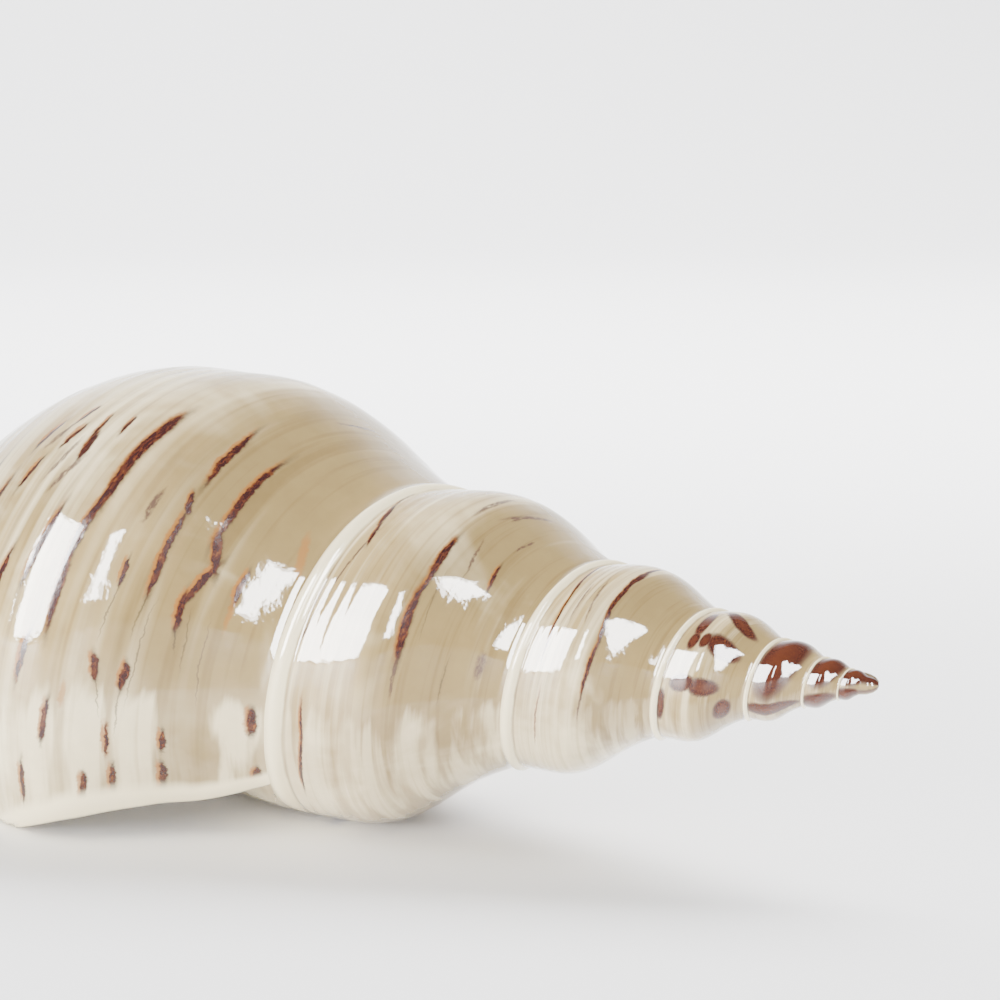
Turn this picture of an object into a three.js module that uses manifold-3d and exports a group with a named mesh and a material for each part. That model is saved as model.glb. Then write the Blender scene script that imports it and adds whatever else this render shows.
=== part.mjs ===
// Left-coiled conch shell in glazed ceramic, lying on its lip, millimetres, +Z up.
// The coiling axis runs level along X with the spire point at +X. The front of the shell faces -Y.
// One whorl profile is repeated round the axis and shrinks by the same ratio each turn.

import * as THREE from "three";
import { mergeVertices } from "three/addons/utils/BufferGeometryUtils.js";
import Module from "manifold-3d";

// Coiling. The angle t runs back from the lip, where it is 0, towards the spire point, in degrees.
const GROWTH_PER_TURN = 1.63;
const SUTURE_DISTANCE = 174.5; // along the axis, from the point where the spiral closes to the lip's top
const SUTURE_RADIUS = 51.5;
const TIP_DISTANCE = 4.2; // the glazed point, from where the spiral closes
const LIP_ANGLE = -51; // the lip's top, seen along the axis: 0 is the front, 90 is up
const SPIRE_TURNS = 5.5; // turns drawn before the last one
const SPIRE_LIFT = 0.00007; // the thin end of the spire bends up a little, per mm squared
const SPIRE_LIFT_START = 140;

// Whorl profile between two sutures: a swelling made of three waves, as shares of the radius.
const SWELL = [0.175, -0.012, -0.029];

// Base of the last whorl: a quarter ellipse past its widest place, in suture distances and radii.
const WIDEST_PLACE = 1.465;
const WIDEST_RADIUS = 1.66;
const BASE_REACH = 1.36;
const BASE_REACH_UNDER = 0.85; // on the wall inside the opening, where the base draws in to the pillar
const BASE_OPENS_OVER = 35; // degrees that the tucked-in whorl edge takes to swell out as the base

// Front end: the base closes round a short canal with a groove along its underside.
const TAPER_START = 212;
const TAPER_SHAPE = 2.36;
const TAPER_FADE = 1.2;
const BASE_END = 329;
const CANAL_END = 344.2;
const CANAL_ROOT_RADIUS = 24;
const CANAL_RADIUS = 11.5;
const CANAL_TIP_RADIUS = 9;
const CANAL_ROOT = 270;
const CANAL_BLEND_START = 180;
const GROOVE_RADIUS = 5.5;
const GROOVE_DEPTH_RADIUS = 10.5; // distance of the groove's middle from the axis
const GROOVE_ANGLE = -118;
const GROOVE_START = 300;

// Raised cord beside each suture, and the bead round the lip.
const CORD_WIDTH = 0.1; // share of the whorl
const CORD_HEIGHT = 1.5;
const BEAD_ANGLE = 7;
const BEAD_HEIGHT = 1.0;

// Opening.
const WALL = 4.6;
const CALLUS = 0.8; // glaze-thick layer that lines the inner side of the opening
const POCKET_ANGLE = 250; // how far the hollow runs back into the shell
const POCKET_CLOSES_OVER = 60;
const POCKET_TOP = 0.1; // share of the whorl where the hollow begins, beside the suture
const POCKET_END = 316;

// The lip's edge, in degrees ahead of a straight edge, at equal steps from the suture to the canal.
const LIP_SWEEP = [0, -1.5, -8, -12, -11, -3, 10, 27, 40, 46, 48];

// Rest.
const AXIS_HEIGHT = 54.5;
const CENTRE_X = 174.2; // middle of the length, from where the spiral closes
const CENTRE_Y = 8;

// Facets.
const WHORL_STEPS = [0, 0.05, 0.12, 0.2, 0.3, 0.42, 0.55, 0.68, 0.8, 0.89, 0.93, 0.965, 1];
const BASE_STEPS = 12;
const CANAL_STEPS = 3;
const TURN_STEPS = 30;
const LIP_STEPS = [7, 3, 1]; // extra steps in degrees before the lip
const MOUTH_OVERRUN = [48, 32, 16]; // degrees that the hollow is cut on past the lip, through the filling
const POCKET_STEPS = 18;
const POCKET_SIDE_STEPS = 14;

const GLAZE = { color: 0xc6b795, roughness: 0.18, metalness: 0 };

const wasm = await Module();
wasm.setup();

const radians = THREE.MathUtils.degToRad;
const mix = THREE.MathUtils.lerp;
const smooth = THREE.MathUtils.smoothstep;

function growth(t) {
  return GROWTH_PER_TURN ** (t / 360);
}

// Radius of the whorl between two sutures, in suture radii, without cord. w runs from 0 to 1.
function whorlRadius(w) {
  let swell = 1;
  SWELL.forEach((size, n) => {
    swell += size * Math.sin((n + 1) * Math.PI * w);
  });
  return (1 + (GROWTH_PER_TURN - 1) * w) * swell;
}

// Radius of the open base, in suture radii, at x suture distances.
function baseRadius(x, t) {
  const reach = mix(BASE_REACH_UNDER, BASE_REACH, smooth(t, -390, -200));
  const z = Math.max(0, x - WIDEST_PLACE) / reach;
  return WIDEST_RADIUS * Math.sqrt(Math.max(0, 1 - z * z));
}

function cord(w) {
  const z = (w - (1 - CORD_WIDTH)) / CORD_WIDTH;
  return z > 0 ? Math.sin(Math.PI * z) : 0;
}

// Radius of the outer surface at distance s along the axis and growth angle t.
function outerRadius(s, t) {
  const k = growth(t);
  const x = s / (SUTURE_DISTANCE * k);
  const w = (x - 1) / (GROWTH_PER_TURN - 1);
  const open = smooth(t, -360, -360 + BASE_OPENS_OVER);
  const tucked = GROWTH_PER_TURN / baseRadius(GROWTH_PER_TURN, t);
  let radius = SUTURE_RADIUS * k * baseRadius(x, t) * mix(tucked, 1, open);
  if (w < 1) {
    const spire = SUTURE_RADIUS * k * whorlRadius(w) + CORD_HEIGHT * k ** 0.5 * cord(w) * (1 - open);
    radius = mix(spire, radius, open * smooth(w, 0.5, 0.9));
  }
  const z = THREE.MathUtils.clamp((s - TAPER_START) / (BASE_END - TAPER_START), 0, 1);
  radius *= (1 - z ** TAPER_SHAPE) ** TAPER_FADE;
  const neck = mix(CANAL_ROOT_RADIUS, CANAL_RADIUS, smooth(s, CANAL_ROOT, CANAL_END));
  const canal = neck * smooth(s, CANAL_BLEND_START, CANAL_BLEND_START + 50);
  return (radius ** 3 + canal ** 3) ** (1 / 3);
}

function place(s, radius, t) {
  const angle = radians(LIP_ANGLE - t);
  const bend = SPIRE_LIFT * Math.max(0, SPIRE_LIFT_START - s) ** 2;
  return [
    CENTRE_X - s,
    CENTRE_Y - radius * Math.cos(angle),
    AXIS_HEIGHT + radius * Math.sin(angle) + bend,
  ];
}

// Turn of the lip's edge at a share v of the way from the suture to the canal.
const sweepLine = new THREE.SplineCurve(
  LIP_SWEEP.map((angle, i) => new THREE.Vector2(i / (LIP_SWEEP.length - 1), angle)),
);
function lipSweep(s) {
  const v = (s - SUTURE_DISTANCE) / (BASE_END - SUTURE_DISTANCE);
  return sweepLine.getPoint(THREE.MathUtils.clamp(v, 0, 1)).y;
}

// A triangle list whose shared points are merged into one closed body.
function closedBody(triangles) {
  const geometry = new THREE.BufferGeometry();
  geometry.setAttribute("position", new THREE.Float32BufferAttribute(triangles.flat(2), 3));
  const merged = mergeVertices(geometry, 1e-3);
  const kept = [];
  for (let i = 0; i < merged.index.count; i += 3) {
    const [a, b, c] = [0, 1, 2].map((corner) => merged.index.getX(i + corner));
    if (a !== b && b !== c && c !== a) kept.push(a, b, c);
  }
  merged.setIndex(kept);
  return merged;
}

function triangle(list, a, b, c) {
  list.push([a, b, c]);
}

// Two triangles for each cell between two rows of points with the same number of points.
function ribbon(list, lower, upper) {
  for (let i = 0; i + 1 < lower.length; i++) {
    triangle(list, lower[i], lower[i + 1], upper[i + 1]);
    triangle(list, lower[i], upper[i + 1], upper[i]);
  }
}

function fan(list, centre, rim) {
  for (let i = 0; i + 1 < rim.length; i++) {
    triangle(list, centre, rim[i], rim[i + 1]);
  }
}

function turnAngles() {
  const angles = [];
  for (let i = 0; i < TURN_STEPS; i++) angles.push((360 * i) / TURN_STEPS);
  LIP_STEPS.forEach((step) => angles.push(360 - step));
  return angles;
}

// Growth angles of all columns, from the spire point to the lip.
function columnAngles() {
  const first = -360 * (SPIRE_TURNS + 1);
  const angles = [];
  for (let turn = -Math.ceil(SPIRE_TURNS + 1); turn < 0; turn++) {
    turnAngles().forEach((angle) => angles.push(360 * turn + angle));
  }
  return angles.filter((angle) => angle >= first).concat([0]);
}

function spirePoint(w, t) {
  const s = SUTURE_DISTANCE * growth(t) * (1 + (GROWTH_PER_TURN - 1) * w);
  return place(s, outerRadius(s, t), t);
}

function bead(t, edge) {
  const z = (t - (edge - BEAD_ANGLE)) / BEAD_ANGLE;
  return z > 0 ? BEAD_HEIGHT * Math.sin(Math.PI * Math.min(1, 0.15 + 0.7 * z)) : 0;
}

// A point of the last turn. The column's angle is shifted so that the last column is the lip's edge,
// and, on the base, the first column stands under that edge.
function lastTurnPoint(column, w, e) {
  const reach = SUTURE_DISTANCE * (1 + (GROWTH_PER_TURN - 1) * w);
  const lipPlace = mix(reach, BASE_END, e);
  const lipShift = lipSweep(lipPlace) * smooth(column, -90, 0);
  const floorShift = lipSweep(mix(SUTURE_DISTANCE, BASE_END, e)) * (1 - smooth(column, -360, -270));
  const t = column + lipShift + (e > 0 ? floorShift : 0);
  const s = mix(reach * growth(t), BASE_END, e);
  const fade = 1 - smooth(s, BASE_END - 30, BASE_END);
  return place(s, outerRadius(s, t) + bead(column, 0) * fade * smooth(w, 0, 0.15), t);
}

function canalPoint(column, i) {
  const share = i / CANAL_STEPS;
  const s = mix(BASE_END, CANAL_END, Math.sin((Math.PI / 2) * share));
  const radius = Math.min(outerRadius(s, column), mix(CANAL_RADIUS + 3, CANAL_TIP_RADIUS, share ** 2));
  const shift = lipSweep(BASE_END) * (smooth(column, -90, 0) + 1 - smooth(column, -360, -270));
  return place(s, radius, column + shift);
}

// The whole shell with its opening still filled.
function filledShell() {
  const columns = columnAngles();
  const spire = columns.filter((t) => t <= -360);
  const last = columns.filter((t) => t >= -360);
  const triangles = [];
  const spireRows = spire.map((t) => WHORL_STEPS.map((w) => spirePoint(w, t)));
  for (let i = 0; i + 1 < spireRows.length; i++) ribbon(triangles, spireRows[i], spireRows[i + 1]);

  const lastRows = last.map((column) => {
    const row = WHORL_STEPS.map((w) => lastTurnPoint(column, w, 0));
    for (let i = 1; i <= BASE_STEPS; i++) row.push(lastTurnPoint(column, 1, i / BASE_STEPS));
    for (let i = 1; i <= CANAL_STEPS; i++) row.push(canalPoint(column, i));
    return row;
  });
  for (let i = 0; i + 1 < lastRows.length; i++) ribbon(triangles, lastRows[i], lastRows[i + 1]);

  const start = columns[0];
  const tip = place(TIP_DISTANCE, 0, start);
  const firstTurn = columns.filter((t) => t <= start + 360);
  const tipRim = firstTurn.map((t) => spirePoint(0, t));
  const stepRim = WHORL_STEPS.map((w) => spirePoint(w, start)).reverse();
  fan(triangles, tip, tipRim.concat(stepRim));
  const canalRim = lastRows.map((row) => row[row.length - 1]).reverse();
  fan(triangles, place(CANAL_END, 0, 0), canalRim);

  // The flat sheet that fills the opening, from the lip's edge to the wall beneath it.
  const lip = lastRows[lastRows.length - 1];
  const floor = lastRows[0];
  const whorlEnd = WHORL_STEPS.length - 1;
  fan(triangles, lip[0], lip.slice(1, whorlEnd + 1));
  const lipBase = lip.slice(whorlEnd, whorlEnd + BASE_STEPS + 1);
  const floorBase = floor.slice(whorlEnd, whorlEnd + BASE_STEPS + 1);
  ribbon(triangles, lipBase, floorBase);
  return closedBody(triangles);
}

// Ceiling and floor of the hollow at distance s and growth angle t; edge is the lip's edge there.
function hollowSides(s, t, edge) {
  const wallAt = Math.min(t, edge);
  const slope = outerRadius(s + 0.5, wallAt) - outerRadius(s - 0.5, wallAt);
  const inset = WALL * growth(wallAt) ** 0.5 * Math.min(3, Math.hypot(1, slope));
  return [outerRadius(s, wallAt) - inset, outerRadius(s, t - 360) + CALLUS];
}

function hollowSection(back) {
  const closing = smooth(back, POCKET_ANGLE - POCKET_CLOSES_OVER, POCKET_ANGLE);
  const fill = Math.sqrt(1 - closing * closing * 0.97);
  const ceiling = [];
  const floor = [];
  const from = SUTURE_DISTANCE * growth(-Math.max(0, back)) * (1 + (GROWTH_PER_TURN - 1) * POCKET_TOP);
  const middle = (from + POCKET_END) / 2;
  for (let i = 0; i <= POCKET_SIDE_STEPS; i++) {
    const v = 0.5 - 0.5 * Math.cos((Math.PI * i) / POCKET_SIDE_STEPS);
    const s = mix(middle, mix(from, POCKET_END, v), mix(1, fill, 0.6));
    const edge = lipSweep(Math.max(s, SUTURE_DISTANCE));
    const t = edge * (1 - smooth(back, 0, 90)) - back;
    const [high, low] = hollowSides(s, t, edge);
    const half = Math.max(0.3, (high - low) / 2) * fill;
    const centre = Math.max((high + low) / 2, low + 0.3);
    ceiling.push(place(s, centre + half, t));
    floor.push(place(s, centre - half, t));
  }
  return ceiling.concat(floor.reverse());
}

function hollow() {
  const backs = MOUTH_OVERRUN.map((angle) => -angle);
  for (let i = 0; i <= POCKET_STEPS; i++) backs.push((POCKET_ANGLE * i) / POCKET_STEPS);
  const sections = backs.map(hollowSection).map((section) => section.concat([section[0]]));
  const triangles = [];
  for (let i = 0; i + 1 < sections.length; i++) ribbon(triangles, sections[i + 1], sections[i]);
  const count = POCKET_SIDE_STEPS + 1;
  const mouth = sections[0];
  const end = sections[sections.length - 1];
  ribbon(triangles, mouth.slice(0, count), mouth.slice(count, 2 * count).reverse());
  ribbon(triangles, end.slice(count, 2 * count).reverse(), end.slice(0, count));
  return solid(closedBody(triangles));
}

function solid(geometry) {
  const position = geometry.getAttribute("position");
  const mesh = new wasm.Mesh({
    numProp: 3,
    vertProperties: Float32Array.from(position.array),
    triVerts: Uint32Array.from(geometry.index.array),
  });
  return new wasm.Manifold(mesh);
}

function toGeometry(body) {
  const mesh = body.getMesh();
  const geometry = new THREE.BufferGeometry();
  geometry.setAttribute("position", new THREE.BufferAttribute(mesh.vertProperties, 3));
  geometry.setIndex(new THREE.BufferAttribute(mesh.triVerts, 1));
  return geometry;
}

function cutter(geometry) {
  geometry.deleteAttribute("normal");
  geometry.deleteAttribute("uv");
  return solid(mergeVertices(geometry));
}

// The block below the resting plane, which trims the shell flat where it stands.
function ground() {
  return cutter(new THREE.BoxGeometry(500, 300, 60).translate(0, 0, -30));
}

// The open groove that runs out of the hollow along the canal.
function groove() {
  const length = CANAL_END + 10 - GROOVE_START;
  const rod = new THREE.CapsuleGeometry(GROOVE_RADIUS, length, 5, 14);
  rod.rotateZ(Math.PI / 2);
  const [x, y, z] = place(GROOVE_START + length / 2, GROOVE_DEPTH_RADIUS, LIP_ANGLE - GROOVE_ANGLE);
  return cutter(rod.translate(x, y, z));
}

const shellBody = [hollow(), groove(), ground()].reduce(
  (body, tool) => body.subtract(tool),
  solid(filledShell()),
);
const material = new THREE.MeshStandardMaterial(GLAZE);
const shell = new THREE.Mesh(toGeometry(shellBody), material);
shell.name = "shell";

const conch = new THREE.Group();
conch.add(shell);

export default conch;
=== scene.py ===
"""Looks of a left-coiled conch shell in reactive glaze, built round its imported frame."""

import math

import bpy
from mathutils import Matrix, Vector


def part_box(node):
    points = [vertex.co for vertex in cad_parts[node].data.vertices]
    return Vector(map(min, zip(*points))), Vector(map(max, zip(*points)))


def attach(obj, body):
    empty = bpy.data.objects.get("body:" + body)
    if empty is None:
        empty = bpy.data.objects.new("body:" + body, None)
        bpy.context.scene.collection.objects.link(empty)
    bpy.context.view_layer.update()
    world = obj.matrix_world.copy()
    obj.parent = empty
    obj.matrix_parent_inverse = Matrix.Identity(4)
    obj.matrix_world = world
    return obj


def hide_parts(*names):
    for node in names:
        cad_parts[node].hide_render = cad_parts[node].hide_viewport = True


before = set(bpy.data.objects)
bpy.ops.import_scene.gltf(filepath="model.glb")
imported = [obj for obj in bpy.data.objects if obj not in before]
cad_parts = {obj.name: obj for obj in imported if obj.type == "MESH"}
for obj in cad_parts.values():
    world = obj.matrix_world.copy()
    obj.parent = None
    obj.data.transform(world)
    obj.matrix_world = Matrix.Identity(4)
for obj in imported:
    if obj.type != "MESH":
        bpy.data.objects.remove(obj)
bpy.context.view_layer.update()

bl_info = {
    "name": "Conch Shell",
    "version": (1, 0, 0),
    "blender": (4, 5, 0),
    "location": "3D View > Sidebar > Conch Shell",
    "description": "Builds a glazed ceramic conch shell, its studio floor, lights and camera",
    "category": "Add Mesh",
}

# Place of the coiling axis, from the frame. The spire point is at +X and the lip's canal at -X.
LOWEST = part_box("shell")[0]
CANAL_END = 0.3442  # along the axis, from the point where the spiral closes
CENTRE_X = LOWEST.x + CANAL_END
CENTRE_Y = 0.008
AXIS_HEIGHT = 0.0545
LIP_ANGLE = -51.0

# Coiling that isn't in the panel.
SPIRE_TURNS = 5.5
TIP_DISTANCE = 0.0042
SPIRE_LIFT = 0.07
SPIRE_LIFT_START = 0.140
SWELL = (0.175, -0.012, -0.029)  # sines of 1, 2 and 3 half waves across a whorl
WIDEST_PLACE = 1.465
WIDEST_RADIUS = 1.66
BASE_REACH = 1.36
BASE_REACH_UNDER = 0.85
BASE_OPENS_OVER = 35.0
TAPER_START = 0.212
TAPER_SHAPE = 2.36
TAPER_FADE = 1.2
BASE_END = 0.329
CANAL_ROOT = 0.270
CANAL_BLEND_START = 0.180
CANAL_BLEND_END = 0.230
CANAL_ROOT_RADIUS = 0.024
CANAL_RADIUS = 0.0115
CANAL_ROUNDING = 6.0
GROOVE_ANGLE = -112.0
GROOVE_START = 0.300
GROOVE_DEPTH = 0.0085
GROOVE_WIDTH = 24.0  # degrees
GROOVE_DEEPENS_OVER = 0.022
GROOVE_FLOOR = 0.25  # least radius in the groove, as a share of the canal's

# Raised cord beside each suture and the bead round the lip.
CORD_WIDTH = 0.088
BEAD_ANGLE = 8.0
BEAD_HEIGHT = 0.0013
BEAD_START = 0.12  # of a half wave
BEAD_SPAN = 0.62
BEAD_FADE = 0.03

# Relief of the outer skin.
RIDGE_COUNT = 16.0  # low spiral ridges across one whorl
RIDGES_RISE = (0.45, 0.72)  # across
RIDGES_END = (0.90, 0.93)
RIDGES_TURN = (-3.0, -2.7)
RIB_COUNT = 11.0  # shallow ribs over the base
DITCH_PLACE = 0.906  # share across of the groove beside the cord
DITCH_WIDTH = 0.012
DITCH_DEPTH = 0.00055
DITCH_END = -330.0  # growth angle past which the last whorl has no groove
LUMP_SCALE = 42.0
RIPPLE_SCALE = 110.0
SEED = 3.0

# Opening.
CALLUS = 0.0006
LEAST_GAP = 0.0003  # between the lining and the wall beneath
SLOPE_STEP = 0.0005
STEEPEST = 3.0  # most that a slope thickens the wall along the radius
POCKET_ANGLE = 250.0
POCKET_CLOSES_OVER = 60.0
POCKET_CLOSES_BY = 0.97
POCKET_TOP = 0.1
POCKET_END = 0.316

# The lip's edge, in degrees ahead of a straight edge, at equal steps from the suture to the canal.
LIP_SWEEP = (0, -1.5, -8, -12, -11, -3, 10, 27, 40, 46, 48)
SWEEP_LOW = -20.0
SWEEP_HIGH = 60.0
SWEEP_FADE = 90.0  # degrees behind the lip where its sweep has died away
ROLL_FADE = 25.0
LIP_RADIUS_SHARE = 1.5  # mean radius of the lip, in suture radii

# Mesh.
COLUMNS = 160
WHORL_ROWS = 56
BASE_ROWS = 56
CANAL_ROWS = 9
CAP_ROWS = 4
RIM_COLUMNS = 8
POCKET_COLUMNS = 48
ROW_GATHER = 1.55  # whorl rows stand closer together towards the cord

# The photographed view: 1000 pixels square, with the principal point in the middle.
PICTURE = 1000.0
TIP_PIXEL = (879.0, 685.8)
TIP_PLACE = Vector((0.170, 0.008, 0.0558))
PIXELS_PER_METRE = 3804.0  # at the depth of the tip
CAMERA_DISTANCE = 1.0285
VIEW_AZIMUTH = 30.2
VIEW_ELEVATION = 9.75
SENSOR = 36.0

# The stage. Azimuths and elevations are counted as the camera's are. Lights are given as azimuth, elevation,
# distance and size. The windows are only seen in reflections, and the soft lights never are.
FLOOR_FRONT = 3.0
FLOOR_BACK = 1.5
FLOOR_HALF = 4.0
BEND_RADIUS = 0.8
BACKDROP_TOP = 4.0
FLOOR_GAP = 0.0002  # below the shell
FLAG_START = 0.105
FLAG_HALF = 0.8
FLAG_HEIGHT = 0.0005
FLAG_COLOUR = (0.12, 0.11, 0.10)
WINDOWS = {
    "window_left": (-27.0, 24.0, 1.5, (0.98, 1.21)),
    "window_middle": (17.5, 25.0, 1.5, (0.15, 0.84)),
    "window_right": (49.0, 24.0, 1.5, (0.27, 1.21)),
}
SOFTS = {
    "front_left": (-30.0, 8.0, 1.5, (0.9, 0.3)),
    "front_right": (55.0, 8.0, 1.5, (0.9, 0.3)),
    "back": (-170.0, 56.0, 1.7, (2.0, 1.0)),
    "ceiling": (-60.0, 82.0, 1.7, (2.2, 2.2)),
}
POWERS = {"front_left": 0.25, "front_right": 0.13, "back": 0.52, "ceiling": 0.11}
BACKDROP_LIGHT = (-150.0, 62.0, 1.2, (2.4, 0.5))
BACKDROP_MIDDLE = Vector((-1.05, 1.82, 0.6))
SHELL_MIDDLE = Vector((0.0, 0.0, 0.06))

# The glaze's pattern is laid out in widths of a whorl: along the coil, and across it.
TURN_WIDTHS = 3.6  # widths of a whorl in one turn
CORD_SIDE = (0.27, 0.62)  # across
BASE_FROM = (0.95, 1.02)
LOW_FROM = (0.855, 0.925)  # of each turn
LOW_TO = (0.02, 0.20)
FAR_SIDE_FROM = (0.03, 0.08)
FAR_SIDE_TO = (0.40, 0.50)
SPIRE_TO = (-3.1, -2.9)  # turns
THIRD_WHORL_TO = (-2.15, -1.95)
SECOND_WHORL_TO = (-1.05, -0.95)
LAST_TURN = (-1.0, -0.90)
CORD_EDGE = 0.912
GROOVE_STAIN = 0.900
GROOVE_STAIN_WIDTH = 0.007
RIM_SHARE = 0.016  # of a turn
PATCH_SWELL = 1.15
BATCH = 8  # ellipses that are compared at a time
TRACE = 0.000001
EDGE_SHIFT = (0.008, -0.0085, 0.0)  # from a streak to its bright edge

# Streaks where iron shows in the glaze, each as start, end and half-width. A place is the growth angle in
# degrees, counted back from the lip, and the share across the whorl.
RUST_STREAKS = (
    # On the last whorl, high on its side.
    ((-117, 0.373), (-98, 0.356), 0.0085),
    ((-112, 0.262), (-84, 0.257), 0.0095),
    ((-87, 0.260), (-75, 0.217), 0.0110),
    ((-77, 0.217), (-64, 0.259), 0.0090),
    ((-67, 0.260), (-57, 0.254), 0.0085),
    ((-93, 0.366), (-88, 0.349), 0.0075),
    ((-87, 0.350), (-65, 0.344), 0.0080),
    ((-111, 0.546), (-95, 0.560), 0.0170),
    ((-99, 0.562), (-84, 0.547), 0.0150),
    ((-89, 0.549), (-68, 0.566), 0.0120),
    ((-72, 0.566), (-54, 0.552), 0.0100),
    ((-77, 0.146), (-68, 0.143), 0.0075),
    ((-101, 0.726), (-96, 0.714), 0.0120),
    ((-103, 0.800), (-99, 0.812), 0.0080),
    ((-73, 0.418), (-66, 0.414), 0.0050),
    ((-108, 0.660), (-103, 0.654), 0.0060),
    ((-107, 0.742), (-101, 0.736), 0.0055),
    ((-110, 0.828), (-105, 0.842), 0.0060),
    ((-105, 0.898), (-98, 0.914), 0.0070),
    ((-94, 0.850), (-87, 0.864), 0.0065),
    # Towards the front.
    ((-82, 0.655), (-66, 0.672), 0.0100),
    ((-72, 0.755), (-58, 0.770), 0.0090),
    ((-88, 0.925), (-70, 0.945), 0.0100),
    ((-52, 0.600), (-42, 0.612), 0.0090),
    ((-62, 0.862), (-48, 0.880), 0.0100),
    ((-34, 0.515), (-24, 0.520), 0.0075),
    ((-38, 0.690), (-28, 0.694), 0.0090),
    ((-18, 0.580), (-8, 0.584), 0.0070),
    ((-30, 0.820), (-16, 0.826), 0.0080),
    # Low on the last whorl.
    ((-46, 0.420), (-40, 0.408), 0.0085),
    ((-44, 0.345), (-38, 0.345), 0.0100),
    ((-26, 0.370), (-18, 0.372), 0.0045),
    ((-13, 0.356), (-5, 0.354), 0.0070),
    ((-11, 0.425), (-5, 0.426), 0.0080),
    ((-9, 0.022), (-3, 0.022), 0.0100),
    ((-33, 0.036), (-26, 0.030), 0.0120),
    ((-26, 0.243), (-20, 0.245), 0.0065),
    ((-14, 0.247), (-5, 0.248), 0.0080),
    # On the second whorl.
    ((-492, 0.932), (-474, 0.880), 0.0080),
    ((-476, 0.882), (-465, 0.846), 0.0100),
    ((-465, 0.838), (-456, 0.812), 0.0090),
    ((-464, 0.443), (-446, 0.437), 0.0150),
    ((-449, 0.436), (-439, 0.441), 0.0085),
    ((-441, 0.446), (-416, 0.428), 0.0160),
    ((-462, 0.236), (-449, 0.217), 0.0065),
    ((-397, 0.822), (-383, 0.812), 0.0065),
    ((-385, 0.811), (-362, 0.831), 0.0075),
    # On the third whorl.
    ((-856, 0.866), (-818, 0.806), 0.0100),
    ((-822, 0.808), (-782, 0.762), 0.0075),
    ((-868, 0.506), (-848, 0.474), 0.0110),
    ((-852, 0.478), (-836, 0.462), 0.0190),
    ((-840, 0.464), (-810, 0.448), 0.0150),
    ((-816, 0.452), (-792, 0.409), 0.0130),
    ((-796, 0.411), (-762, 0.424), 0.0110),
)
PLUM_STREAKS = (
    ((-91, 0.432), (-84, 0.430), 0.0080),
    ((-95, 0.700), (-87, 0.738), 0.0100),
    ((-99, 0.760), (-90, 0.782), 0.0090),
    ((-104, 0.850), (-98, 0.870), 0.0090),
    ((-143, 0.320), (-156, 0.306), 0.0050),
    ((-462, 0.812), (-436, 0.855), 0.0060),
    ((-438, 0.853), (-416, 0.905), 0.0060),
    ((-501, 0.490), (-481, 0.484), 0.0120),
    ((-508, 0.338), (-487, 0.390), 0.0110),
    ((-497, 0.372), (-489, 0.366), 0.0090),
    ((-470, 0.357), (-454, 0.326), 0.0050),
    ((-485, 0.232), (-474, 0.243), 0.0060),
    ((-418, 0.428), (-403, 0.426), 0.0070),
    ((-418, 0.120), (-409, 0.118), 0.0200),
    ((-828, 0.704), (-804, 0.678), 0.0080),
    ((-834, 0.625), (-804, 0.562), 0.0090),
    ((-764, 0.715), (-732, 0.732), 0.0060),
    ((-764, 0.424), (-746, 0.430), 0.0060),
)
AMBER_STREAKS = (
    ((-93, 0.064), (-80, 0.026), 0.0120),
    ((-72, 0.144), (-60, 0.142), 0.0070),
    ((-38, 0.480), (-33, 0.480), 0.0090),
    ((-27, 0.371), (-17, 0.372), 0.0075),
    ((-398, 0.824), (-380, 0.812), 0.0110),
    ((-766, 0.716), (-735, 0.730), 0.0090),
)
HAIR_STREAKS = (
    ((-88, 0.352), (-82, 0.350), 0.0022),
    ((-66, 0.344), (-53, 0.346), 0.0020),
    ((-67, 0.414), (-52, 0.418), 0.0020),
    ((-57, 0.254), (-50, 0.244), 0.0022),
    ((-41, 0.408), (-30, 0.388), 0.0018),
    ((-38, 0.345), (-24, 0.352), 0.0018),
    ((-62, 0.230), (-46, 0.222), 0.0018),
    ((-60, 0.182), (-38, 0.176), 0.0018),
    ((-62, 0.318), (-34, 0.330), 0.0018),
    ((-441, 0.441), (-432, 0.432), 0.0030),
    ((-450, 0.390), (-425, 0.372), 0.0020),
    ((-455, 0.326), (-440, 0.334), 0.0022),
    ((-416, 0.240), (-398, 0.246), 0.0030),
    ((-851, 0.745), (-812, 0.712), 0.0030),
    ((-846, 0.640), (-812, 0.630), 0.0030),
)

# Brown patches on the spire, each as its middle, the half-extent along the coil in degrees, the half-extent
# across and the lean in degrees.
PATCHES = (
    ((-1204, 0.40), 7, 0.26, 24),
    ((-1190, 0.74), 16, 0.07, -8),
    ((-1166, 0.36), 10, 0.20, 24),
    ((-1170, 0.58), 7, 0.06, 0),
    ((-1168, 0.72), 8, 0.06, 0),
    ((-1130, 0.66), 7, 0.14, 0),
    ((-1126, 0.42), 8, 0.15, 12),
    ((-1096, 0.21), 13, 0.08, 0),
    ((-1108, 0.88), 14, 0.05, 0),
    ((-1532, 0.54), 62, 0.34, 6),
    ((-1450, 0.50), 11, 0.44, 4),
    ((-1904, 0.52), 56, 0.42, 8),
    ((-1806, 0.52), 24, 0.46, 0),
    ((-2276, 0.50), 60, 0.70, 0),
    ((-2170, 0.60), 32, 0.60, 0),
)


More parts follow.
